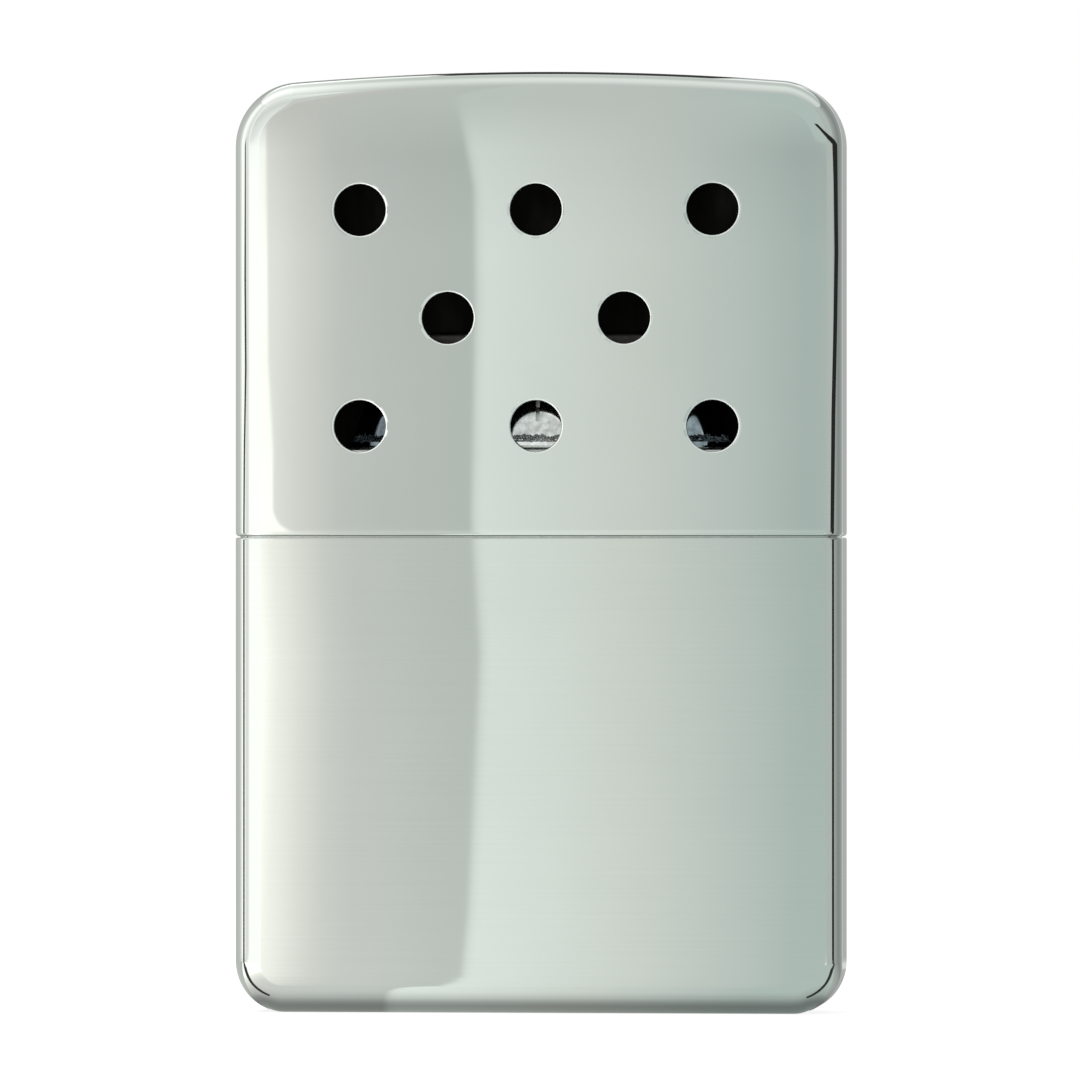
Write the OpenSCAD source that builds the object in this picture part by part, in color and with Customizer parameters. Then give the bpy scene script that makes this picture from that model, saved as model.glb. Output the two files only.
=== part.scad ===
/* [Case] */
// Width of the closed warmer, side to side
case_w = 66; // [62:1:70]
// Thickness of the closed warmer, front to back
case_t = 13; // [12.6:0.1:14]
// Height of the closed warmer, from its base to the top of its crown
case_h = 102; // [98:0.2:106]
// Height at which the lid's rim meets the case's rim
seam_z = 51.6; // [49:0.1:54]
// Thickness of the drawn sheet of the lid and the case
sheet = 0.45; // [0.4:0.05:0.6]
// Radius of the roll between the two faces and the sides
edge_r = 3; // [2.5:0.25:4]
// Radius of the two top corners, seen from the front
top_corner_r = 7; // [6:0.5:9]
// Radius of the two base corners, seen from the front
base_corner_r = 5.5; // [4.5:0.5:7]
// Height by which the crown rises between the top corners
crown_rise = 1.04; // [1, 1.04, 1.3]
// Radius of the lid's turned-in rim
lid_lip = 0.4; // [0.2:0.05:0.4]
// Radius of the case's rim
case_lip = 0.2; // [0.1:0.05:0.4]
// Gap between the two rims when the lid is down
seam_gap = 0.14; // [0.1:0.02:0.3]

/* [Vents] */
// Diameter of an air hole in the lid's front
vent_d = 5.6; // [4:0.1:7]
// Width of the edge bevel round an air hole
vent_bevel = 0.14; // [0.05:0.01:0.2]
// Distance between the columns of a row
vent_pitch_x = 19.15; // [16:0.05:20]
// Distance between the rows
vent_pitch_z = 11.7; // [10:0.05:12]
// Height of the middle row
vent_middle_z = 75.3; // [72:0.1:77]

/* [Tank] */
// Height of the collar above the seam, where the lid grips
collar_h = 9.7; // [8:0.1:10]
// Depth that the collar reaches down into the case
collar_depth = 4; // [3:0.5:8]
// Radius between the collar's wall and its shoulder
collar_edge_r = 1; // [0.6:0.1:1.6]
// Play between the collar and the lid, on each side
lid_play = 0.05; // [0.02:0.01:0.1]
// Thickness of the sheet of the collar, the neck and the burner
thin_sheet = 0.4; // [0.3:0.05:0.45]
// Width of the filler neck at its rim
neck_w = 38.1; // [36:0.1:38.2]
// Thickness of the filler neck at its rim, front to back
neck_t = 7.3; // [7:0.1:7.5]
// How far the walls of the neck and the skirt lean in over each millimetre of height
neck_taper = 0.3; // [0.25:0.01:0.3]
// Height of the neck's rim above the seam
neck_top = 14; // [13:0.1:14.5]
// Width of the neck's flange under the shoulder
neck_flange = 0.7; // [0.5:0.1:0.8]

/* [Burner] */
// Play between the burner's skirt and the neck, on each side
burner_play = 0.05; // [0.02:0.01:0.1]
// Height of the skirt's foot above the seam
skirt_foot = 9.9; // [9.8:0.1:10.2]
// Height of the skirt's top above the seam
skirt_top = 15.6; // [15.4:0.1:16]
// Radius at which the skirt's wall curls out into its foot
skirt_curl = 0.4; // [0.4, 0.41, 0.42]
// Height of the foot of the spring slit above the seam
slit_foot = 12.5; // [11.5:0.1:13]
// Width of the spring slit
slit_w = 0.42; // [0.3:0.02:0.8]
// Height of the burner's top above the seam
burner_top = 22.2; // [22:0.1:22.8]
// Depth of the cap's rim
cap_rim = 1.9; // [1.5:0.1:2.2]
// Radius of the cap's top edge
cap_edge_r = 0.8; // [0.5:0.1:1]
// Width of a catalyst window
window_w = 28.6; // [24:0.2:29]
// Height of a catalyst window
window_h = 4; // [3:0.1:4.2]

/* [Mesh] */
// Distance between the wires of a gauze
gauze_pitch = 1.02; // [1:0.02:1.4]
// Thickness of a gauze's wires
gauze_wire = 0.3; // [0.2:0.05:0.4]
// Diameter of a hole in the vapour plate
vapour_hole_d = 1.2; // [0.8:0.1:1.5]

/* [Hidden] */
$fn = 96;

// Distance by which a cutter passes the face that it cuts
past = 1;
// Height of the straight band that carries a rim's rounded lip
rim_h = 1.2;

// The crown's arc is tangent to the top corners' arcs, so a line through both centres parts them
corner_x = case_w / 2 - top_corner_r;
corner_z = case_h - top_corner_r - crown_rise;
crown_reach = (corner_x * corner_x / crown_rise + crown_rise) / 2;
crown_r = crown_reach + top_corner_r;
crown_centre_z = case_h - crown_r;
parting_slope = (crown_reach - crown_rise) / corner_x;
crown_depth = 12;
base_corner_x = case_w / 2 - base_corner_r;

// Inside of the case and the lid, which the collar fits
inner_w = case_w - 2 * sheet;
inner_t = case_t - 2 * sheet;
inner_corner = edge_r - sheet;

// Heights that the tank's pieces share
shoulder_z = seam_z + collar_h - thin_sheet;
neck_rim_z = seam_z + neck_top;
neck_inner_w = neck_w - 2 * thin_sheet;
neck_inner_t = neck_t - 2 * thin_sheet;
neck_run = neck_w - neck_t;
taper_foot_z = shoulder_z + 1;
neck_foot_t = neck_t + 2 * neck_taper * (neck_rim_z - taper_foot_z);
ring_h = 0.6;
ring_z = neck_rim_z - 0.2 - ring_h;
neck_gauze_z = ring_z - gauze_wire;
felt_foot_z = seam_z + 4;
felt_play = 0.1;

// Wadding: three pads that fill the tank
pad_gap = 1;
pad_lower_top = 17;
pad_middle_top = 33.5;

// Burner: the skirt sits on the tapered neck and turns upright above its rim, where it grips the cage. The cage
// stands on the vapour plate, and the cap covers it
upright_z = neck_rim_z + 1;
skirt_in_t = neck_t + 2 * burner_play - 2 * neck_taper * (upright_z - neck_rim_z);
skirt_in_w = neck_run + skirt_in_t;
skirt_w = skirt_in_w + 2 * thin_sheet;
skirt_t = skirt_in_t + 2 * thin_sheet;
curl_reach = 0.29;
plate_z = neck_rim_z + 0.05;
vapour_hole_pitch = 2.3;
cage_z = plate_z + thin_sheet;
cap_z = seam_z + burner_top;
cap_slot_pitch = 6;
cage_top = cap_z - thin_sheet;
cage_sheet = 0.35;
window_z = seam_z + skirt_top + 0.4;
gauze_w = skirt_in_w - skirt_in_t - 0.1;
gauze_h = 6.2;
gauze_columns = 28;
gauze_rows = 5;
gauze_y = skirt_in_t / 2 - cage_sheet;
hoop_d = 0.7;
mat_t = 2 * (gauze_y - gauze_wire - hoop_d);
mat_w = 35.2;
mat_h = 6.6;
mat_edge_r = 0.8;

// ---- forms ----

// Quarter of a disc, in the first quadrant
module quarter_disc(r) {
    intersection() {
        circle(r);
        square(r);
    }
}

// Half of a slab's cross-section, from near to far, with its two far corners rolled
module half_section(near, far, thick, roll) {
    translate([near, -thick / 2]) square([far - roll - near, thick]);
    translate([near, roll - thick / 2]) square([far - near, thick - 2 * roll]);
    for (side = [0, 1]) mirror([0, side])
        translate([far - roll, thick / 2 - roll]) quarter_disc(roll);
}

// Whole cross-section of a slab with four rolled corners
module section(w, thick, roll) {
    half_section(0, w / 2, thick, roll);
    mirror([1, 0]) half_section(0, w / 2, thick, roll);
}

// A slab's edge carried round a corner that is seen from the front
module turned_edge(from, sweep, near, far, thick, roll) {
    rotate([90, 0, 0]) rotate([0, 0, from])
        rotate_extrude(angle = sweep) half_section(near, far, thick, roll);
}

// Prism through the whole thickness, from an outline that is seen from the front
module front_prism(outline) {
    translate([0, case_t, 0]) rotate([90, 0, 0]) linear_extrude(2 * case_t) polygon(outline);
}

// Side view of a plate whose lower outer edge is rounded
module lip_profile(reach, lip, h) {
    square([reach - lip, h]);
    translate([0, lip]) square([reach, h - lip]);
    translate([reach - lip, lip]) mirror([0, 1]) quarter_disc(lip);
}

// Both side views of such a plate, back to back
module lip_pair(reach, lip, h) {
    lip_profile(reach, lip, h);
    mirror([1, 0]) lip_profile(reach, lip, h);
}

// Rectangular plate with round corners and a rounded lower edge
module lipped_plate(w, thick, corner, lip, h) {
    translate([-(w / 2 - corner), 0, 0]) rotate([90, 0, 90])
        linear_extrude(w - 2 * corner) lip_pair(thick / 2, lip, h);
    for (side = [0, 1]) mirror([side, 0, 0]) {
        translate([w / 2 - corner, thick / 2 - corner, 0]) rotate([90, 0, 0])
            linear_extrude(thick - 2 * corner) lip_profile(corner, lip, h);
        translate([w / 2 - corner, thick / 2 - corner, 0])
            rotate_extrude(angle = 90) lip_profile(corner, lip, h);
        translate([w / 2 - corner, corner - thick / 2, 0]) rotate([0, 0, -90])
            rotate_extrude(angle = 90) lip_profile(corner, lip, h);
    }
}

// Oval with straight sides and round ends
module oval(w, thick) {
    square([w - thick, thick], center = true);
    for (side = [0, 1]) mirror([side, 0])
        difference() {
            translate([(w - thick) / 2, 0]) circle(thick / 2);
            translate([(w - thick) / 2 - thick, -thick]) square([thick, 2 * thick]);
        }
}

// Oval ring that stands between two heights
module oval_tube(w, thick, wall, h) {
    linear_extrude(h) difference() {
        oval(w, thick);
        oval(w - 2 * wall, thick - 2 * wall);
    }
}

// A side view carried round an oval whose round ends are centred a run apart
module oval_sweep(run) {
    translate([-run / 2, 0, 0]) rotate([90, 0, 90]) linear_extrude(run) {
        children();
        mirror([1, 0]) children();
    }
    for (turn = [-90, 90]) rotate([0, 0, turn]) translate([0, run / 2, 0])
        rotate_extrude(angle = 180) children();
}

// Oval plate with a rounded lower edge
module lipped_oval(w, thick, lip, h) {
    oval_sweep(w - thick) lip_profile(thick / 2, lip, h);
}

// Square openings of a gauze, centred, kept within a width and a height
module gauze_openings(columns, rows) {
    gap = gauze_pitch - gauze_wire;
    for (i = [0 : columns - 1], j = [0 : rows - 1])
        translate([(i - (columns - 1) / 2) * gauze_pitch, (j - (rows - 1) / 2) * gauze_pitch])
            square(gap, center = true);
}

// Lid's solid, a skin's depth inside its outer surface
module lid_form(skin, foot) {
    thick = case_t - 2 * skin;
    roll = edge_r - skin;
    over = corner_z + parting_slope;
    wide = case_w;
    translate([0, 0, foot]) linear_extrude(corner_z - foot) section(case_w - 2 * skin, thick, roll);
    intersection() {
        translate([0, 0, crown_centre_z])
            turned_edge(0, 180, crown_r - crown_depth, crown_r - skin, thick, roll);
        front_prism([[-corner_x, corner_z], [corner_x, corner_z], [corner_x + 1, over], [-corner_x - 1, over]]);
    }
    for (side = [0, 1]) mirror([side, 0, 0]) intersection() {
        translate([corner_x, 0, corner_z]) turned_edge(0, 360, 0, top_corner_r - skin, thick, roll);
        front_prism([[corner_x, corner_z], [wide, corner_z], [wide, over], [corner_x + 1, over]]);
    }
}

// Case's solid, a skin's depth inside its outer surface
module case_form(skin, top) {
    thick = case_t - 2 * skin;
    roll = edge_r - skin;
    translate([0, 0, base_corner_r]) linear_extrude(top - base_corner_r)
        section(case_w - 2 * skin, thick, roll);
    translate([-base_corner_x, 0, base_corner_r]) rotate([0, 90, 0])
        linear_extrude(2 * base_corner_x) half_section(0, base_corner_r - skin, thick, roll);
    translate([base_corner_x, 0, base_corner_r])
        turned_edge(-90, 90, 0, base_corner_r - skin, thick, roll);
    translate([-base_corner_x, 0, base_corner_r])
        turned_edge(180, 90, 0, base_corner_r - skin, thick, roll);
}

// Air holes of the lid: rows of three, two and three, through the front wall only
module vents() {
    for (row = [-1 : 1], column = [-1 : 0.5 : 1])
        if ((row == 0) == (abs(column) == 0.5))
            translate([column * vent_pitch_x, -case_t / 2, vent_middle_z + row * vent_pitch_z])
                rotate([-90, 0, 0]) {
                    translate([0, 0, -past]) cylinder(h = 2 * past + sheet, d = vent_d);
                    cylinder(h = vent_bevel, d1 = vent_d + 2 * vent_bevel, d2 = vent_d);
                }
}

// ---- lid and tank ----

module lid_shell() {
    color("#cdd4d0") difference() {
        union() {
            lid_form(0, seam_z + seam_gap / 2 + rim_h);
            translate([0, 0, seam_z + seam_gap / 2])
                lipped_plate(case_w, case_t, edge_r, lid_lip, rim_h);
        }
        lid_form(sheet, seam_z - past);
        vents();
    }
}

module case_shell() {
    rim_z = seam_z - seam_gap / 2;
    color("#c5ccc6") difference() {
        union() {
            case_form(0, rim_z - rim_h);
            translate([0, 0, rim_z]) mirror([0, 0, 1])
                lipped_plate(case_w, case_t, edge_r, case_lip, rim_h);
        }
        case_form(sheet, rim_z + past);
    }
}

module tank_top() {
    rim_z = seam_z - seam_gap / 2;
    foot_z = seam_z - collar_depth;
    grip_w = inner_w - 2 * lid_play;
    grip_t = inner_t - 2 * lid_play;
    color("#b9bfbd") difference() {
        union() {
            translate([0, 0, seam_z + collar_h]) mirror([0, 0, 1])
                lipped_plate(grip_w, grip_t, inner_corner - lid_play, collar_edge_r, seam_z + collar_h - rim_z);
            translate([0, 0, foot_z]) linear_extrude(rim_z - foot_z) section(inner_w, inner_t, inner_corner);
        }
        translate([0, 0, foot_z - past]) linear_extrude(shoulder_z - foot_z + past)
            section(grip_w - 2 * thin_sheet, grip_t - 2 * thin_sheet, inner_corner - lid_play - thin_sheet);
        translate([0, 0, shoulder_z - past]) linear_extrude(2 * past + thin_sheet)
            oval(neck_run + neck_foot_t, neck_foot_t);
    }
}

// Side view of the neck's wall: upright through the shoulder, then leaning in, with a flange under the shoulder
module neck_profile(flange_z) {
    foot_r = neck_foot_t / 2;
    rim_r = neck_t / 2;
    polygon([
        [foot_r - thin_sheet, flange_z], [foot_r, flange_z], [foot_r, taper_foot_z], [rim_r, neck_rim_z],
        [rim_r - thin_sheet, neck_rim_z], [foot_r - thin_sheet, taper_foot_z]
    ]);
    translate([foot_r - thin_sheet, flange_z]) square([thin_sheet + neck_flange, thin_sheet]);
}

module filler_neck() {
    color("#b4b9b6") oval_sweep(neck_run) neck_profile(shoulder_z - thin_sheet);
}

module neck_gauze() {
    color("#8f9492") translate([0, 0, neck_gauze_z]) linear_extrude(gauze_wire) difference() {
        oval(neck_inner_w - 2 * felt_play, neck_inner_t - 2 * felt_play);
        gauze_openings(gauze_columns, gauze_rows);
    }
}

module neck_ring() {
    color("#a9aeab") translate([0, 0, ring_z]) oval_tube(neck_inner_w, neck_inner_t, 1, ring_h);
}

module wick_felt() {
    color("#e8e2d2") translate([0, 0, felt_foot_z]) linear_extrude(neck_gauze_z - felt_foot_z)
        oval(neck_inner_w - 2 * felt_play, neck_inner_t - 2 * felt_play);
}

module cotton_pad_lower() {
    color("#f1efe8") translate([0, 0, sheet - pad_gap]) case_form(pad_gap, pad_lower_top + pad_gap - sheet);
}

module cotton_pad_middle() {
    color("#eeece4") translate([0, 0, pad_lower_top]) linear_extrude(pad_middle_top - pad_lower_top)
        section(case_w - 2 * pad_gap, case_t - 2 * pad_gap, edge_r - pad_gap);
}

module cotton_pad_upper() {
    color("#f1efe8") translate([0, 0, pad_middle_top]) linear_extrude(felt_foot_z - pad_middle_top)
        section(case_w - 2 * pad_gap, case_t - 2 * pad_gap, edge_r - pad_gap);
}

// ---- burner ----

// Side view of the skirt's wall: upright round the cage, then leaning out down to its curled foot
module skirt_profile(foot_z, top_z) {
    in_r = skirt_in_t / 2;
    out_r = in_r + thin_sheet;
    lean = neck_taper * (upright_z - foot_z);
    foot_r = out_r + lean - neck_taper * thin_sheet + curl_reach;
    polygon([
        [in_r + lean, foot_z], [out_r + lean, foot_z], [out_r, upright_z],
        [out_r, top_z], [in_r, top_z], [in_r, upright_z]
    ]);
    translate([in_r + lean, foot_z]) square([foot_r - in_r - lean, thin_sheet]);
    translate([foot_r - skirt_curl, foot_z + thin_sheet]) difference() {
        square([skirt_curl, 0.75 * skirt_curl]);
        translate([skirt_curl, skirt_curl]) circle(skirt_curl);
    }
}

module burner_skirt() {
    slit_z = seam_z + slit_foot + slit_w / 2;
    reach = neck_foot_t;
    color("#d3d6d4") difference() {
        oval_sweep(neck_run) skirt_profile(seam_z + skirt_foot, seam_z + skirt_top);
        translate([-slit_w / 2, -reach, slit_z]) cube([slit_w, 2 * reach, skirt_top]);
        translate([0, reach, slit_z]) rotate([90, 0, 0]) cylinder(h = 2 * reach, d = slit_w);
    }
}

module vapour_plate() {
    color("#a8adab") translate([0, 0, plate_z]) linear_extrude(thin_sheet) difference() {
        oval(skirt_in_w, skirt_in_t);
        for (i = [-7 : 7], j = [-1 : 1])
            translate([i, j] * vapour_hole_pitch) circle(d = vapour_hole_d);
    }
}

// Half of the cage that holds the mat, with its window
module cage_half() {
    difference() {
        translate([0, 0, cage_z]) oval_tube(skirt_in_w, skirt_in_t, cage_sheet, cage_top - cage_z);
        translate([-skirt_w, 0, cage_z - past]) cube([2 * skirt_w, skirt_t, cage_top - cage_z + 2 * past]);
        translate([-window_w / 2, -skirt_t, window_z]) cube([window_w, skirt_t, window_h]);
    }
}

module cage_front() {
    color("#c2c6c4") cage_half();
}

module cage_back() {
    color("#c2c6c4") rotate([0, 0, 180]) cage_half();
}

module burner_cap() {
    color("#ced2d0") difference() {
        translate([0, 0, cap_z]) mirror([0, 0, 1]) lipped_oval(skirt_w, skirt_t, cap_edge_r, cap_rim);
        translate([0, 0, cage_top - cap_rim]) linear_extrude(cap_rim) oval(skirt_in_w, skirt_in_t);
        for (i = [-2 : 2])
            translate([i * cap_slot_pitch, 0, cap_z - past]) linear_extrude(2 * past) oval(3.6, 1.4);
    }
}

module gauze_sheet() {
    color("#8f9492") translate([0, -gauze_y + gauze_wire, cage_z]) rotate([90, 0, 0])
        linear_extrude(gauze_wire) difference() {
            translate([-gauze_w / 2, 0]) square([gauze_w, gauze_h]);
            translate([0, gauze_h / 2]) gauze_openings(gauze_columns, gauze_rows);
        }
}

module gauze_front() {
    gauze_sheet();
}

module gauze_back() {
    rotate([0, 0, 180]) gauze_sheet();
}

module catalyst_mat() {
    color("#77736c") translate([0, 0, cage_z]) lipped_oval(mat_w, mat_t, mat_edge_r, mat_h);
}

// One wire hoop round the mat
module hoop(z) {
    run = mat_w - mat_t;
    reach = (mat_t + hoop_d) / 2;
    translate([0, 0, z]) {
        for (side = [-1, 1]) {
            translate([-run / 2, side * reach, 0]) rotate([0, 90, 0]) cylinder(h = run, d = hoop_d);
            rotate([0, 0, side * 90]) translate([0, run / 2, 0])
                rotate_extrude(angle = 180) translate([reach, 0]) circle(d = hoop_d);
        }
    }
}

module mat_hoops() {
    color("#9a9e9c") {
        hoop(cage_z + 1.2);
        hoop(cage_z + mat_h - 1);
    }
}

lid_shell();
case_shell();
tank_top();
filler_neck();
neck_gauze();
neck_ring();
wick_felt();
cotton_pad_lower();
cotton_pad_middle();
cotton_pad_upper();
burner_skirt();
vapour_plate();
cage_front();
cage_back();
burner_cap();
gauze_front();
gauze_back();
catalyst_mat();
mat_hoops();
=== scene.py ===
import math

import bmesh
import bpy
import numpy as np
from mathutils import Matrix, Vector, kdtree, noise
from mathutils.geometry import delaunay_2d_cdt


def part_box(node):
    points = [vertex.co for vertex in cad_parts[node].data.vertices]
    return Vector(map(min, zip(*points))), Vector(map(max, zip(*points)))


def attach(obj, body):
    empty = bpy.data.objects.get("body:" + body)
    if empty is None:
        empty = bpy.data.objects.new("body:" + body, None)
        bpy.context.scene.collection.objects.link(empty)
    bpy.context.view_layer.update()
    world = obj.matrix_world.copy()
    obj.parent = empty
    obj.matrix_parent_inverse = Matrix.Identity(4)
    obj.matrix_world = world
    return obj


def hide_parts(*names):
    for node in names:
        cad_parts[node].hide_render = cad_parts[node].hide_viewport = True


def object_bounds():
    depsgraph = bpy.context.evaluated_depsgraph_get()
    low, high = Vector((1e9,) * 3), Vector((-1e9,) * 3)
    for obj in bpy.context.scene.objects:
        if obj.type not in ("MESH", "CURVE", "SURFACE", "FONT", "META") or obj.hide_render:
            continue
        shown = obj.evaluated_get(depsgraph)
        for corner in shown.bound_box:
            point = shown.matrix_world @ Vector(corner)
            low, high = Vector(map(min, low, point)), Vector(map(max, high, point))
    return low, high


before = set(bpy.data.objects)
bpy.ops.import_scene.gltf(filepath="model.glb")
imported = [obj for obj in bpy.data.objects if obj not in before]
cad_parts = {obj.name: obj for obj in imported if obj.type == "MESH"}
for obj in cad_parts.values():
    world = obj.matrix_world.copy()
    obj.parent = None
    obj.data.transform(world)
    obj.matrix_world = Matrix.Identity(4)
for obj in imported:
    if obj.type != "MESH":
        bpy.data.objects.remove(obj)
cadLow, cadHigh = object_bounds()
mm = 0.001
print("frame loaded", [round(v / mm, 2) for v in cadHigh - cadLow])


def linearColour(hexText):  # sRGB hex to the linear values that shaders take
    parts = [int(hexText[i:i + 2], 16) / 255 for i in (1, 3, 5)]
    return tuple(c / 12.92 if c <= 0.04045 else ((c + 0.055) / 1.055) ** 2.4 for c in parts) + (1.0,)


def connect(tree, node, links):
    # links are socket: source, which is an output, or a node whose first output is meant
    for name, source in links.items():
        tree.links.new(getattr(source, "outputs", [source])[0], node.inputs[name])


def addNode(tree, kind, settings=None, links=None):
    # kind is the node's type, bare for a shader node, with its operation after it if it has one;
    # settings are properties, socket values (by name or number) or a ramp's stops
    kind, _, operation = kind.partition(" ")
    node = tree.nodes.new(kind if "Node" in kind else "ShaderNode" + kind)
    if operation:
        node.operation = operation
    settings = dict(settings or {})
    stops = settings.pop("stops", None)
    if stops:
        ramp = node.color_ramp.elements
        ramp[0].position, ramp[-1].position = stops[0][0], stops[-1][0]
        for place, _ in stops[1:-1]:
            ramp.new(place)
        for part, (_, tone) in zip(ramp, stops):
            part.color = tone
    for name, value in settings.items():
        if isinstance(name, str) and name not in node.inputs:
            setattr(node, name, value)
    for name, value in settings.items():
        if not isinstance(name, str) or name in node.inputs:
            node.inputs[name].default_value = value
    connect(tree, node, links or {})
    return node


def placed(name, data):
    made = bpy.data.objects.new(name, data)
    bpy.context.scene.collection.objects.link(made)
    return made


def bareMaterial(name):
    material = bpy.data.materials.new(name)
    material.use_nodes = True
    material.node_tree.nodes.clear()
    return material, material.node_tree


def newMaterial(name, settings):
    material, tree = bareMaterial(name)
    shader = addNode(tree, "BsdfPrincipled", settings)
    addNode(tree, "OutputMaterial", links={"Surface": shader})
    return material, tree, shader


def grainOver(tree, size, stretch=(1, 1, 1), detail=3.0, roughness=0.55):
    # an even grain on the piece's own coordinates; size is its width in metres, stretch squeezes it along an axis
    place = addNode(tree, "TexCoord")
    turned = addNode(tree, "Mapping", {"Scale": stretch}, {"Vector": place.outputs["Object"]})
    return addNode(
        tree, "TexNoise",
        {"Scale": 1 / size, "Detail": detail, "Roughness": roughness}, {"Vector": turned})


chromeLook = {
    "lid": {"tone": ("#d2d6d2", "#cbd0cb"), "haze": (0.022, 0.040), "brush": 0.35},
    "case": {"tone": ("#d2d6d1", "#c8cdc8"), "haze": (0.030, 0.055), "brush": 1.0},
    "hazeSize": 0.013,      # width of the clearer and hazier patches
    "brushSize": 0.00024,   # distance between hairlines; finer than this they'd not show
    "brushDepth": 0.0000014,
}


def polishedChrome(name, part):
    # Chromium plate on drawn steel, buffed along its width: a clear mirror, a trace green, with haze and hairlines.
    look = chromeLook[part]
    material, tree, shader = newMaterial(name, {"Metallic": 1.0})
    haze = grainOver(tree, chromeLook["hazeSize"], detail=2.0)
    hairs = grainOver(tree, chromeLook["brushSize"], (0.010, 0.4, 1.0), 2.0, 0.6)
    both = addNode(tree, "Mix", {"data_type": "FLOAT", 0: 0.45 * look["brush"]}, {2: haze, 3: hairs})
    tone = addNode(tree, "Mix", {
        "data_type": "RGBA", 6: linearColour(look["tone"][0]), 7: linearColour(look["tone"][1])},
        {0: both})
    rough = addNode(tree, "MapRange", {"From Min": 0.3, "From Max": 0.7,
                    "To Min": look["haze"][0], "To Max": look["haze"][1]}, {"Value": both})
    bump = addNode(tree, "Bump",
                   {"Strength": 0.5 * look["brush"], "Distance": chromeLook["brushDepth"]},
                   {"Height": hairs})
    connect(tree, shader, {"Base Color": tone.outputs[2], "Roughness": rough, "Normal": bump})
    return material


def drawnSteel(name, tones, rough, size, stretch, depth=0.000004):
    # Sheet or wire as it leaves the press or the die: bright where it is drawn hard, with faint marks along the draw.
    material, tree, shader = newMaterial(name, {"Metallic": 1.0})
    marks = grainOver(tree, size, stretch)
    tone = addNode(tree, "Mix", {
        "data_type": "RGBA", 6: linearColour(tones[0]), 7: linearColour(tones[1])}, {0: marks})
    satin = addNode(tree, "MapRange", {"From Min": 0.3, "From Max": 0.7,
                    "To Min": rough * 0.75, "To Max": rough * 1.3}, {"Value": marks})
    bump = addNode(tree, "Bump", {"Strength": 0.5, "Distance": depth}, {"Height": marks})
    connect(tree, shader, {"Base Color": tone.outputs[2], "Roughness": satin, "Normal": bump})
    return material


nickelLook = {
    # along the skirt in metres, and its tone there: bright in the middle, a painted reflection, and dark and bluish at
    # both ends, partly heat tint and partly painted shade
    "tones": ((-0.0185, "#6f7980"), (-0.0115, "#76808a"), (-0.0075, "#e6e8e8"), (0.0075, "#eceeed"),
              (0.0115, "#a9b3ba"), (0.0185, "#a2acb4")),
    "stain": 0.004,         # width of the stain's waves, and how far they move its edges
    "wander": 0.0012,
    "mottle": 0.0007,       # width of the stain's specks, and the share of the tone that the darkest keep
    "mottleLeast": 0.62,
    "pucker": 0.0006,       # width of the puckers that the curled foot leaves in the sheet, and how far they reach
    "puckerShift": 0.0003,
    "stepAt": (0.0620, 0.0626),  # heights between which the sheet steps in to the foot, and the depth of the step
    "stepDepth": 0.0009,
}


def heatTintAndShadeNickel(name):
    # Nickel plate on thin drawn steel, puckered by the foot: bright in the middle, a painted reflection, and dark and
    # blued at the ends, partly by heat and partly painted shade.
    material, tree, shader = newMaterial(name, {"Metallic": 1.0, "Roughness": 0.10})
    axes = addNode(tree, "SeparateXYZ", links={0: addNode(tree, "TexCoord").outputs["Object"]})
    stain = grainOver(tree, nickelLook["stain"], detail=4.0)
    places = nickelLook["tones"]
    low, high = places[0][0], places[-1][0]
    drift = nickelLook["wander"]
    wander = addNode(tree, "MapRange", {"To Min": -drift, "To Max": drift}, {"Value": stain})
    moved = addNode(tree, "Math ADD", links={0: axes, 1: wander})
    share = addNode(tree, "MapRange", {"From Min": low, "From Max": high}, {"Value": moved})
    ramp = addNode(tree, "ValToRGB", {
        "stops": [((place - low) / (high - low), linearColour(tone)) for place, tone in places]},
        {0: share})
    mottle = addNode(tree, "MapRange", {
        "From Min": 0.35, "From Max": 0.65, "To Min": nickelLook["mottleLeast"]},
        {"Value": grainOver(tree, nickelLook["mottle"], detail=4.0)})
    tone = addNode(tree, "VectorMath SCALE", links={0: ramp, "Scale": mottle})
    puckers = grainOver(tree, nickelLook["pucker"], (1, 1, 0.7), 4.0, 0.65)
    shift = nickelLook["puckerShift"]
    ragged = addNode(tree, "MapRange", {"From Min": 0.3, "From Max": 0.7, "To Min": -shift, "To Max": shift},
                     {"Value": puckers})
    height = addNode(tree, "Math ADD", links={0: axes.outputs[2], 1: ragged})
    start, end = nickelLook["stepAt"]
    step = addNode(tree, "MapRange", {"From Min": start, "From Max": end}, {"Value": height})
    bump = addNode(tree, "Bump", {"Strength": 1.0, "Distance": nickelLook["stepDepth"]}, {"Height": step})
    connect(tree, shader, {"Base Color": tone, "Normal": bump})
    return material


def looseFibre(name, tones, size):
    # Cotton, wool felt or glass fibre: matt and uneven, with a soft nap that catches light at its edges.
    material, tree, shader = newMaterial(
        name, {"Roughness": 0.95, "Sheen Weight": 0.25, "Sheen Roughness": 0.6, "Specular IOR Level": 0.2})
    clumps = grainOver(tree, size, detail=6.0, roughness=0.7)
    tone = addNode(tree, "Mix", {
        "data_type": "RGBA", 6: linearColour(tones[1]), 7: linearColour(tones[0])}, {0: clumps})
    bump = addNode(tree, "Bump", {"Strength": 0.7, "Distance": size * 0.4}, {"Height": clumps})
    connect(tree, shader, {"Base Color": tone.outputs[2], "Normal": bump})
    return material


lidChrome = polishedChrome("lidPolishedChrome", "lid")
caseChrome = polishedChrome("casePolishedChrome", "case")
# painted highlight: each air hole's rounded edge and wall take a lighter metal than the chrome round it, so that a
# bright ring shows round each hole
ventHighlightMetal = drawnSteel("ventPaintedHighlightEdge", ("#f4f6f4", "#e6e9e6"), 0.30, 0.0004, (1, 1, 1))
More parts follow.
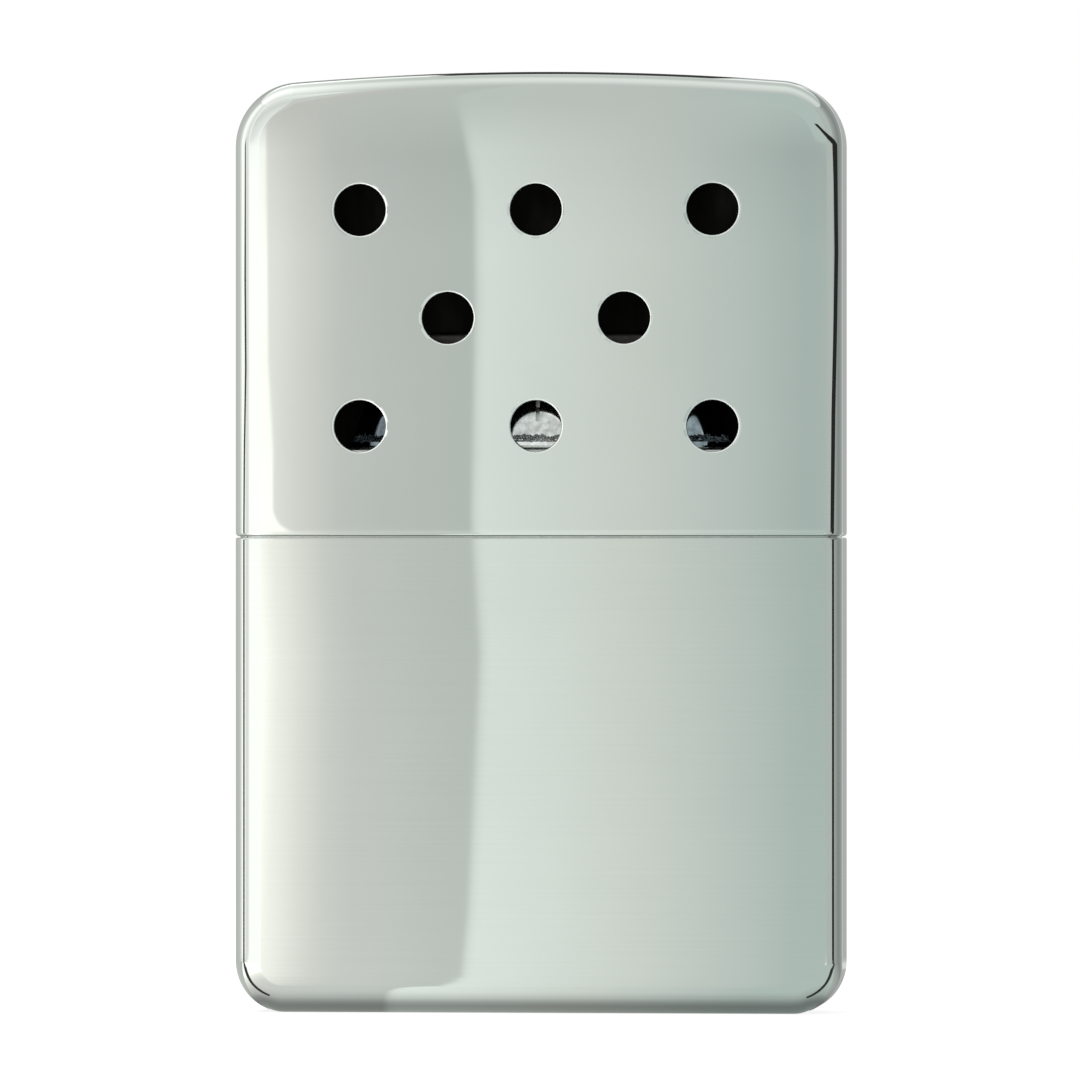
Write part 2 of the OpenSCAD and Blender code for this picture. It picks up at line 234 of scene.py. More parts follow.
# painted shade: the inside of the lid and the case is made dark so that the air holes look black
shadedInside = drawnSteel("insidePaintedShadeSteel", ("#35332f", "#201f1c"), 0.55, 0.004, (1, 1, 0.3))
burnerNickel = heatTintAndShadeNickel("burnerHeatTintAndShadeNickel")
# the cap is dark, partly heat tint and partly painted shade, so that the air holes look black where the cap shows
# through them
burntAndShadedSteel = drawnSteel("capBurntAndShadedSteel", ("#45423e", "#2b2926"), 0.42, 0.0012, (1, 1, 1))
collarSteel = drawnSteel("collarTinnedSteel", ("#c9ccc9", "#b4b8b5"), 0.22, 0.0008, (1, 1, 0.06))
cageSteel = drawnSteel("cageStampedSteel", ("#8b8883", "#6a6762"), 0.34, 0.0010, (1, 1, 1))
wireSteel = drawnSteel("gauzeDrawnWire", ("#b2b4b1", "#83857f"), 0.34, 0.0006, (1, 1, 1))
feltWool = looseFibre("wickWoolFelt", ("#ece6d6", "#cfc6b2"), 0.0009)
wadCotton = looseFibre("wadCottonWool", ("#f4f3ee", "#dedbd2"), 0.0016)
matFibre = looseFibre("matGlassFibre", ("#8b8780", "#5d5952"), 0.0007)
print("materials made")


shellShape = {
    "edgeRoll": 3.0,      # radius between face and side
    "topCorner": 7.0,     # corner radii, seen from the front
    "baseCorner": 5.5,
    "crownRise": 1.04,    # rise of the crown between the top corners
    "sheet": 0.45,        # wall
    "lidLip": 0.4,        # rounding of each rim
    "caseLip": 0.2,
    "ventRadius": 2.8,
    "ventRound": 0.16,    # rounding of each air hole's edge
    "ventPitch": (19.15, 11.7),
    "ventMiddle": 75.3,
    "ventSteps": 72,      # points round an air hole, and from its edge to its wall
    "roundSteps": 5,
    "facePitch": 1.1,     # spacing of the mesh on the faces
    "rollSteps": 14,
    "pillow": 0.10,       # how far the faces fall away towards their edges
}
halfWide = cadHigh.x / mm
halfThick = cadHigh.y / mm
topZ = cadHigh.z / mm
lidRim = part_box("lid_shell")[0][2] / mm
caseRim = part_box("case_shell")[1][2] / mm


def arcPoints(centre, radius, fromDegrees, toDegrees, steps):
    # points and outward normals along an arc, both ends included
    made = []
    for i in range(steps + 1):
        angle = math.radians(fromDegrees + (toDegrees - fromDegrees) * i / steps)
        normal = (math.cos(angle), math.sin(angle))
        made.append(((centre[0] + radius * normal[0], centre[1] + radius * normal[1]), normal))
    return made


def straightPoints(start, end, normal, spacing):
    # points along a line, without its two ends
    length = math.dist(start, end)
    steps = max(2, round(length / spacing))
    return [((start[0] + (end[0] - start[0]) * i / steps, start[1] + (end[1] - start[1]) * i / steps), normal)
            for i in range(1, steps)]


def lidOutline():
    shape = shellShape
    cornerX = halfWide - shape["topCorner"]
    cornerZ = topZ - shape["topCorner"] - shape["crownRise"]
    reach = (cornerX ** 2 / shape["crownRise"] + shape["crownRise"]) / 2
    tilt = math.degrees(math.atan2(cornerX, reach - shape["crownRise"]))
    crownRadius = reach + shape["topCorner"]
    foot = lidRim + shape["lidLip"]
    left = [((-halfWide, foot), (-1, 0))]
    left += straightPoints((-halfWide, foot), (-halfWide, cornerZ), (-1, 0), 1.5)
    left += arcPoints((-cornerX, cornerZ), shape["topCorner"], 180, 90 + tilt, 18)
    crown = arcPoints((0, topZ - crownRadius), crownRadius, 90 + tilt, 90 - tilt, 44)
    right = [((-p[0], p[1]), (-n[0], n[1])) for p, n in reversed(left)]
    return left + crown[1:-1] + right


def caseOutline():
    shape = shellShape
    cornerX = halfWide - shape["baseCorner"]
    top = caseRim - shape["caseLip"]
    left = [((-halfWide, top), (-1, 0))]
    left += straightPoints((-halfWide, top), (-halfWide, shape["baseCorner"]), (-1, 0), 1.5)
    left += arcPoints((-cornerX, shape["baseCorner"]), shape["baseCorner"], 180, 270, 18)
    base = straightPoints((-cornerX, 0), (cornerX, 0), (0, -1), 1.3)
    right = [((-p[0], p[1]), (-n[0], n[1])) for p, n in reversed(left)]
    return left + base + right


def ventCentres():
    pitchX, pitchZ = shellShape["ventPitch"]
    rows = {-1: (-1, 0, 1), 0: (-0.5, 0.5), 1: (-1, 0, 1)}
    return [(column * pitchX, shellShape["ventMiddle"] + row * pitchZ)
            for row, columns in rows.items() for column in columns]


def circlePoint(centre, radius, i, steps):
    angle = 2 * math.pi * i / steps
    return centre[0] + radius * math.cos(angle), centre[1] + radius * math.sin(angle)


def faceTriangles(border, holes, holeRadius):
    # triangles of a flat face with round holes, with rings of points round each hole
    pitch = shellShape["facePitch"]
    ringSteps = shellShape["ventSteps"]
    points = [Vector(p) for p in border]
    edges = [(i, (i + 1) % len(border)) for i in range(len(border))]
    for hole in holes:
        first = len(points)
        points += [Vector(circlePoint(hole, holeRadius, i, ringSteps)) for i in range(ringSteps)]
        edges += [(first + i, first + (i + 1) % ringSteps) for i in range(ringSteps)]
        for ring, extra in enumerate((0.25, 0.6, 1.1)):
            steps = ringSteps // 2 if ring else ringSteps
            points += [Vector(circlePoint(hole, holeRadius + extra, i + 0.5, steps)) for i in range(steps)]
    lowX, lowZ = min(p[0] for p in border), min(p[1] for p in border)
    highX, highZ = max(p[0] for p in border), max(p[1] for p in border)
    borderPoints = np.array(border)
    for row in range(1, int((highZ - lowZ) / pitch) + 1):
        for column in range(1, int((highX - lowX) / pitch) + 1):
            p = (lowX + pitch * (column - 0.5 * (row % 2)), lowZ + pitch * row)
            if min(np.hypot(*(borderPoints - p).T)) < pitch * 0.6 or not insideBorder(p, border):
                continue
            if all(math.dist(p, hole) > holeRadius + 1.5 for hole in holes):
                points.append(Vector(p))
    verts, _, faces, _, _, _ = delaunay_2d_cdt(points, edges, [], 1, 1e-6)
    kept = []
    for face in faces:
        middle = sum((verts[i] for i in face), Vector((0, 0))) / len(face)
        if all((middle - Vector(hole)).length > holeRadius * 0.995 for hole in holes):
            kept.append(tuple(face))
    return [tuple(v) for v in verts], kept


def insideBorder(p, border):
    inside = False
    for (x1, z1), (x2, z2) in zip(border, border[1:] + border[:1]):
        if (z1 > p[1]) != (z2 > p[1]) and p[0] < (x2 - x1) * (p[1] - z1) / (z2 - z1) + x1:
            inside = not inside
    return inside


def pillowDrop(x, z, side, low, high, amount):
    # how far a face has fallen away from its plane: nothing at the middle, most at the edges
    u = x / halfWide
    v = np.clip((2 * z - low - high) / (high - low) * (1 if low > 0 else -1), 0, 1)  # none by the seam
    weight = np.clip((np.abs(side) - 2.0) / (halfThick - 2.0), 0, 1) ** 2
    return -np.sign(side) * amount * (0.75 * u ** 2 + 0.25 * u ** 6 + 0.45 * v ** 4) * weight


def shellMesh(name, outline, rimZ, rimUp, lip, holes, materials):
    # outer wall, rim, inner wall and hole walls of one drawn shell, as one closed mesh
    shape = shellShape
    roll, steps = shape["edgeRoll"], shape["rollSteps"]
    centreY = halfThick - roll
    verts, normals, faces, smoothFaces = [], [], [], []

    def addVert(x, y, z, normal):
        verts.append((x, y, z))
        normals.append(normal)
        return len(verts) - 1

    centres = [(p[0] - n[0] * roll, p[1] - n[1] * roll) for p, n in outline]
    rimEnds = (centres[0], centres[-1])
    rimLine = [p for p, _ in straightPoints(rimEnds[1], rimEnds[0], (0, 0), shape["facePitch"])]
    border = centres + rimLine
    if polygonArea(border) < 0:
        border.reverse()

    def wall(skin, holeRadius, outward):
        radius = roll - skin
        angles = [math.pi / 2 * i / steps for i in range(steps + 1)]
        rows = []
        for (p, n), c in zip(outline, centres):
            row = []
            for angle in angles:
                side = radius * math.sin(angle)
                row.append(addVert(c[0] + n[0] * side, -centreY - radius * math.cos(angle), c[1] + n[1] * side,
                                   (n[0] * math.sin(angle), -math.cos(angle), n[1] * math.sin(angle))))
            for k in range(1, 4):
                row.append(addVert(c[0] + n[0] * radius, -centreY + centreY * 2 * k / 4, c[1] + n[1] * radius,
                                   (n[0], 0, n[1])))
            for angle in reversed(angles):
                side = radius * math.sin(angle)
                row.append(addVert(c[0] + n[0] * side, centreY + radius * math.cos(angle), c[1] + n[1] * side,
                                   (n[0] * math.sin(angle), math.cos(angle), n[1] * math.sin(angle))))
            rows.append(row)
        for first, second in zip(rows, rows[1:]):
            for k in range(len(first) - 1):
                faces.append((first[k], first[k + 1], second[k + 1], second[k]))
                smoothFaces.append(outward)
        for facing, circles in ((-1, holes), (1, [])):
            flat, triangles = faceTriangles(border, circles, holeRadius)
            index = [addVert(x, facing * (centreY + radius), z, (0, facing, 0)) for x, z in flat]
            for triangle in triangles:
                faces.append(tuple(index[i] for i in triangle))
                smoothFaces.append(outward)
        return rows

    wall(0, shape["ventRadius"] + shape["ventRound"], 1)
    wall(shape["sheet"], shape["ventRadius"], -1)

    def ringLoop(radius, z):
        # rim loop of the rounded rectangle, which lies radius outside its corner centres
        loop = []
        cornerX = halfWide - roll
        for sideX, sideY, start in ((1, 1, 0), (-1, 1, 90), (-1, -1, 180), (1, -1, 270)):
            for i in range(steps + 1):
                angle = math.radians(start + 90 * i / steps)
                loop.append(addVert(sideX * cornerX + radius * math.cos(angle),
                                    sideY * centreY + radius * math.sin(angle), z,
                                    (math.cos(angle), math.sin(angle), 0)))
            if start in (0, 180):
                ends = (cornerX, -cornerX) if start == 0 else (-cornerX, cornerX)
                for p, _ in straightPoints((ends[0], 0), (ends[1], 0), (0, 0), shape["facePitch"]):
                    loop.append(addVert(p[0], sideY * (centreY + radius), z, (0, sideY, 0)))
            else:
                ends = (centreY, -centreY) if start == 90 else (-centreY, centreY)
                for k in range(1, 4):
                    loop.append(addVert(sideX * (cornerX + radius), ends[0] + (ends[1] - ends[0]) * k / 4, z,
                                        (sideX, 0, 0)))
        return loop

    lipSteps = 6
    loops = [ringLoop(roll - lip * (1 - math.cos(a)), rimZ + rimUp * lip * (1 - math.sin(a)))
             for a in (math.pi / 2 * i / lipSteps for i in range(lipSteps + 1))]
    loops.append(ringLoop(roll - shape["sheet"], rimZ))
    loops.append(ringLoop(roll - shape["sheet"], rimZ + rimUp * lip))
    for first, second in zip(loops, loops[1:]):
        for i in range(len(first)):
            j = (i + 1) % len(first)
            faces.append((first[i], first[j], second[j], second[i]))
            smoothFaces.append(0)
    ringSteps, roundSteps = shape["ventSteps"], shape["roundSteps"]
    for hole in holes:
        rings = [(shape["ventRadius"] + shape["ventRound"] * (1 - math.sin(a)),
                  -halfThick + shape["ventRound"] * (1 - math.cos(a)))
                 for a in (math.pi / 2 * i / roundSteps for i in range(roundSteps + 1))]
        rings.append((shape["ventRadius"], -halfThick + shape["sheet"]))
        made = [[addVert(x, y, z, (0, -1, 0)) for x, z in
                 (circlePoint(hole, radius, i, ringSteps) for i in range(ringSteps))] for radius, y in rings]
        for first, second in zip(made, made[1:]):
            for i in range(ringSteps):
                j = (i + 1) % ringSteps
                faces.append((first[i], first[j], second[j], second[i]))
                smoothFaces.append(2)

    points, directions = np.array(verts), np.array(normals, dtype=float)
    low, high = (lidRim, topZ) if rimUp > 0 else (0.0, caseRim)
    points, directions = applyPillow(points, directions, low, high)
    return finishShell(name, points, directions, faces, smoothFaces, materials)


def polygonArea(points):
    return sum(x1 * z2 - x2 * z1 for (x1, z1), (x2, z2) in zip(points, points[1:] + points[:1])) / 2


def applyPillow(points, directions, low, high):
    # moves each point inwards and turns its normal with it
    amount, tiny = shellShape["pillow"], 1e-4

    def drop(x, y, z):
        return pillowDrop(x, z, y, low, high, amount)

    x, y, z = points.T
    here = drop(x, y, z)
    slopeX = (drop(x + tiny, y, z) - here) / tiny
    slopeY = (drop(x, y + tiny, z) - here) / tiny
    slopeZ = (drop(x, y, z + tiny) - here) / tiny
    facing = directions[:, 1] / (1 + slopeY)
    turned = np.stack([directions[:, 0] - slopeX * facing, facing, directions[:, 2] - slopeZ * facing], axis=1)
    turned /= np.maximum(np.linalg.norm(turned, axis=1, keepdims=True), 1e-9)
    return np.stack([x, y + here, z], axis=1), turned


def finishShell(name, points, directions, faces, smoothFaces, materials):
    # welds the walls, turns every face outwards and sets the walls' own normals
    grid = bmesh.new()
    made = [grid.verts.new(p * mm) for p in points]
    kind = grid.faces.layers.int.new("wallKind")
    for face, smooth in zip(faces, smoothFaces):
        if len(set(face)) < 3:
            continue
        item = grid.faces.new([made[i] for i in face])
        item[kind] = smooth
        # the inner wall takes the second material, painted shade, and the air holes' walls take the third, a painted
        # highlight
        item.material_index = {-1: 1, 2: 2}.get(smooth, 0)
    bmesh.ops.remove_doubles(grid, verts=grid.verts, dist=2e-7)
    bmesh.ops.dissolve_degenerate(grid, edges=grid.edges, dist=1e-8)
    bmesh.ops.recalc_face_normals(grid, faces=grid.faces)
    if grid.calc_volume(signed=True) < 0:
        bmesh.ops.reverse_faces(grid, faces=grid.faces)
    openEdges = sum(1 for e in grid.edges if len(e.link_faces) != 2)
    mesh = bpy.data.meshes.new(name)
    grid.to_mesh(mesh)
    grid.free()
    print(name, len(mesh.polygons), "faces,", openEdges, "open edges")
    setWallNormals(mesh, points * mm, directions)
    shell = placed(name, mesh)
    for material in materials:
        mesh.materials.append(material)
    return shell


def setWallNormals(mesh, points, directions):
    # the nearest built point gives each corner of a smooth wall its exact normal
    mesh.polygons.foreach_set("use_smooth", [True] * len(mesh.polygons))
    mesh.set_sharp_from_angle(angle=math.radians(50))
    tree = kdtree.KDTree(len(points))
    for i, p in enumerate(points):
        tree.insert(Vector(p), i)
    tree.balance()
    nearest = [tree.find(v.co)[1] for v in mesh.vertices]
    kinds = mesh.attributes["wallKind"].data
    corners = [Vector((0, 0, 0))] * len(mesh.loops)
    for polygon in mesh.polygons:
        kind = kinds[polygon.index].value
        if abs(kind) != 1:
            continue
        for corner in polygon.loop_indices:
            normal = Vector(directions[nearest[mesh.loops[corner].vertex_index]]) * kind
            if normal.dot(polygon.normal) > 0.5:
                corners[corner] = normal
    mesh.normals_split_custom_set(corners)


lidSkin = shellMesh("lidShell", lidOutline(), lidRim, 1, shellShape["lidLip"], ventCentres(),
                    (lidChrome, shadedInside, ventHighlightMetal))
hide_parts("lid_shell")
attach(lidSkin, "lid")
caseSkin = shellMesh("caseShell", caseOutline(), caseRim, -1, shellShape["caseLip"], [],
                     (caseChrome, shadedInside))
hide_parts("case_shell")
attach(caseSkin, "case")
print("shells made")


gauzeShape = {
    "pitch": 0.62 * mm,   # between neighbouring wires
    "wire": 0.16 * mm,
    "sides": 6,
    "steps": 6,           # points from one crossing to the next
}


def weaveTree(material):
    # plain weave in the XY plane, within an oval: each wire goes over one and under the next
    tree = bpy.data.node_groups.new("wireWeave", "GeometryNodeTree")
    for name in ("Long", "Height", "Run", "Pitch", "Wire"):  # Run is the length between the end arcs' centres
        tree.interface.new_socket(name, in_out="INPUT", socket_type="NodeSocketFloat")
    tree.interface.new_socket("Geometry", in_out="OUTPUT", socket_type="NodeSocketGeometry")
    given = addNode(tree, "NodeGroupInput").outputs
    families = []
    for along, length, across in ((0, given["Long"], given["Height"]), (1, given["Height"], given["Long"])):
        half = addNode(tree, "Math DIVIDE", {1: 2.0}, {0: length})
        less = addNode(tree, "Math MULTIPLY", {1: -1.0}, {0: half})
        start = addNode(tree, "CombineXYZ", links={along: less})
        end = addNode(tree, "CombineXYZ", links={along: half})
        line = addNode(tree, "GeometryNodeCurvePrimitiveLine", links={"Start": start, "End": end})
        part = addNode(tree, "Math DIVIDE", {1: float(gauzeShape["steps"])}, {0: given["Pitch"]})
        wire = addNode(tree, "GeometryNodeResampleCurve", {"mode": "LENGTH"}, {"Curve": line, "Length": part})
        # wires lie at odd halves of a pitch, the same number on each side
        perSide = addNode(tree, "Math DIVIDE", links={0: across, 1: given["Pitch"]})
        pairs = addNode(tree, "Math DIVIDE", {1: 2.0}, {0: perSide})
        whole = addNode(tree, "Math FLOOR", links={0: pairs})
        count = addNode(tree, "Math MULTIPLY", {1: 2.0}, {0: whole})
        reach = addNode(tree, "Math SUBTRACT", {1: 0.5}, {0: whole})
        first = addNode(tree, "Math MULTIPLY", links={0: reach, 1: given["Pitch"]})
        firstLess = addNode(tree, "Math MULTIPLY", {1: -1.0}, {0: first})
        origin = addNode(tree, "CombineXYZ", links={1 - along: firstLess})
        step = addNode(tree, "CombineXYZ", links={1 - along: given["Pitch"]})
        places = addNode(tree, "GeometryNodeMeshLine", {"mode": "OFFSET"},
                         {"Count": count, "Start Location": origin, "Offset": step})
        laid = addNode(tree, "GeometryNodeInstanceOnPoints", links={"Points": places, "Instance": wire})
        loose = addNode(tree, "GeometryNodeRealizeInstances", links={0: laid})
        axes = addNode(tree, "SeparateXYZ", links={0: addNode(tree, "GeometryNodeInputPosition")})
        waves = []
        for axis in (0, 1):
            turns = addNode(tree, "Math DIVIDE", links={0: axes.outputs[axis], 1: given["Pitch"]})
            angle = addNode(tree, "Math MULTIPLY", {1: math.pi}, {0: turns})
            waves.append(addNode(tree, "Math SINE", links={0: angle}))
        wave = addNode(tree, "Math MULTIPLY", links={0: waves[0], 1: waves[1]})
        swing = addNode(tree, "Math MULTIPLY", {1: 0.47 - 0.94 * along}, {0: given["Wire"]})
        rise = addNode(tree, "Math MULTIPLY", links={0: wave, 1: swing})
        lift = addNode(tree, "CombineXYZ", links={2: rise})
        bent = addNode(tree, "GeometryNodeSetPosition", links={"Geometry": loose, "Offset": lift})
        # what lies past the oval's outline is cut off
        far = addNode(tree, "Math ABSOLUTE", links={0: axes})
        halfRun = addNode(tree, "Math DIVIDE", {1: 2.0}, {0: given["Run"]})
        past = addNode(tree, "Math SUBTRACT", links={0: far, 1: halfRun})
        end = addNode(tree, "Math MAXIMUM", {1: 0.0}, {0: past})
        flat = addNode(tree, "CombineXYZ", links={0: end, 1: axes.outputs[1]})
        away = addNode(tree, "VectorMath LENGTH", links={0: flat})
        limit = addNode(tree, "Math DIVIDE", {1: 1.99}, {0: given["Height"]})
        outside = addNode(tree, "Math GREATER_THAN", links={0: away.outputs["Value"], 1: limit})
        families.append(addNode(tree, "GeometryNodeDeleteGeometry", {"domain": "POINT"},
                                {"Geometry": bent, "Selection": outside}).outputs[0])
    joined = addNode(tree, "GeometryNodeJoinGeometry")
    for family in reversed(families):
        tree.links.new(family, joined.inputs[0])
    radius = addNode(tree, "Math DIVIDE", {1: 2.0}, {0: given["Wire"]})
    ring = addNode(tree, "GeometryNodeCurvePrimitiveCircle", {"Resolution": gauzeShape["sides"]}, {"Radius": radius})
    wires = addNode(tree, "GeometryNodeCurveToMesh", {"Fill Caps": True}, {"Curve": joined, "Profile Curve": ring})
    solid = addNode(tree, "GeometryNodeRealizeInstances", links={0: wires})
    dressed = addNode(tree, "GeometryNodeSetMaterial", {"Material": material}, {"Geometry": solid})
    addNode(tree, "NodeGroupOutput", links={0: dressed})
    return tree


def grown(name, tree, values):
    # the mesh that a tree of geometry nodes gives for named values
    base = placed(name, bpy.data.meshes.new(name))
    modifier = base.modifiers.new("grow", "NODES")
    modifier.node_group = tree
    for item in tree.interface.items_tree:
        if item.item_type == "SOCKET" and item.in_out == "INPUT" and item.name in values:
            modifier[item.identifier] = values[item.name]
    mesh = bpy.data.meshes.new_from_object(base.evaluated_get(bpy.context.evaluated_depsgraph_get()))
    bpy.data.objects.remove(base)
    mesh.name = name
    return mesh


def addGauze(name, node, body, tree, upright):
    # the weave stands in for the plain perforated sheet, in the same place
    low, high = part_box(node)
    size, middle = high - low, (low + high) / 2
    wire = gauzeShape["wire"]
    height = (size.z if upright else size.y) - 2 * wire
    mesh = grown(name, tree, {"Long": size.x - 2 * wire, "Height": height, "Run": size.x - (0 if upright else height),
                              "Pitch": gauzeShape["pitch"], "Wire": wire})
    turn = Matrix.Rotation(math.radians(90), 4, "X") if upright else Matrix()
    mesh.transform(Matrix.Translation(middle) @ turn)
    mesh.shade_smooth()
    piece = placed(name, mesh)
    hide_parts(node)
    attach(piece, body)
    print(name, len(mesh.polygons), "faces")


weave = weaveTree(wireSteel)
addGauze("neckGauze", "neck_gauze", "case", weave, False)
addGauze("gauzeFront", "gauze_front", "burner", weave, True)
addGauze("gauzeBack", "gauze_back", "burner", weave, True)

nodeMaterials = {
    "tank_top": collarSteel, "filler_neck": collarSteel, "neck_ring": cageSteel,
    "burner_skirt": burnerNickel, "burner_cap": burntAndShadedSteel, "cage_front": cageSteel, "cage_back": cageSteel,
    "vapour_plate": cageSteel, "mat_hoops": wireSteel,
}
for nodeName, material in nodeMaterials.items():
    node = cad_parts[nodeName]
    if not node.material_slots:
        node.data.materials.append(material)
    for place in node.material_slots:
        place.material = material
print("metal nodes dressed")


softShape = {
    # voxel, depth and width of the lumps in millimetres, the nap's depth, and how full a pad is from 0 to 1
    "wickFelt": {"node": "wick_felt", "voxel": 0.40, "lump": (0.10, 2.6), "nap": 0.05, "fill": None},
    "cottonPadLower": {"node": "cotton_pad_lower", "voxel": 0.60, "lump": (0.90, 7.0), "nap": 0.10, "fill": 0.6},
    "cottonPadMiddle": {"node": "cotton_pad_middle", "voxel": 0.60, "lump": (0.90, 6.5), "nap": 0.10, "fill": 0.6},
    "cottonPadUpper": {"node": "cotton_pad_upper", "voxel": 0.60, "lump": (0.90, 6.0), "nap": 0.10, "fill": 0.6},
    "catalystMat": {"node": "catalyst_mat", "voxel": 0.26, "lump": (0.14, 1.9), "nap": 0.07, "fill": 0.7},
}


def softMesh(name, shape, seed):
    # the solid's own form, remeshed, its edges slackened and its faces pressed into lumps, never past its box
    low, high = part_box(shape["node"])
    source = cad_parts[shape["node"]]
    base = placed(name, source.data.copy())
    welded = bmesh.new()
    welded.from_mesh(base.data)
    bmesh.ops.remove_doubles(welded, verts=welded.verts, dist=1e-6)
    welded.to_mesh(base.data)
    welded.free()
    remesh = base.modifiers.new("remesh", "REMESH")
    remesh.mode, remesh.voxel_size = "VOXEL", shape["voxel"] * mm
    mesh = bpy.data.meshes.new_from_object(base.evaluated_get(bpy.context.evaluated_depsgraph_get()))
    bpy.data.objects.remove(base)
    mesh.name = name
    grid = bmesh.new()
    grid.from_mesh(mesh)
    for _ in range(6):
        bmesh.ops.smooth_vert(grid, verts=grid.verts, factor=0.5, use_axis_x=True, use_axis_y=True, use_axis_z=True)
    grid.normal_update()
    depth, width = shape["lump"]
    shift = Vector((seed * 3.7, seed * 1.3, seed * 2.1))
    moves = []
    for vert in grid.verts:
        at = vert.co / mm
        lump = 0.5 + 0.5 * noise.noise(at / width + shift) + 0.25 * noise.noise(at / (width * 0.45) - shift)
        nap = noise.noise(at / (shape["voxel"] * 2.2) + shift)
        moves.append(vert.normal * (-depth * min(max(lump, 0), 1) + shape["nap"] * nap) * mm)
    for vert, move in zip(grid.verts, moves):
        place = vert.co + move
        vert.co = Vector([min(max(place[i], low[i]), high[i]) for i in range(3)])
    bmesh.ops.recalc_face_normals(grid, faces=grid.faces)
    grid.to_mesh(mesh)
    grid.free()
    mesh.shade_smooth()
    return mesh


def addSoft(name, body, material, seed):
    shape = softShape[name]
    mesh = softMesh(name, shape, seed)
    mesh.materials.clear()
    mesh.materials.append(material)
    piece = placed(name, mesh)
    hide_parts(shape["node"])
    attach(piece, body)
    print(name, len(mesh.polygons), "faces")


addSoft("wickFelt", "case", feltWool, 1)
addSoft("cottonPadLower", "case", wadCotton, 2)
addSoft("cottonPadMiddle", "case", wadCotton, 3)
addSoft("cottonPadUpper", "case", wadCotton, 4)
addSoft("catalystMat", "burner", matFibre, 5)


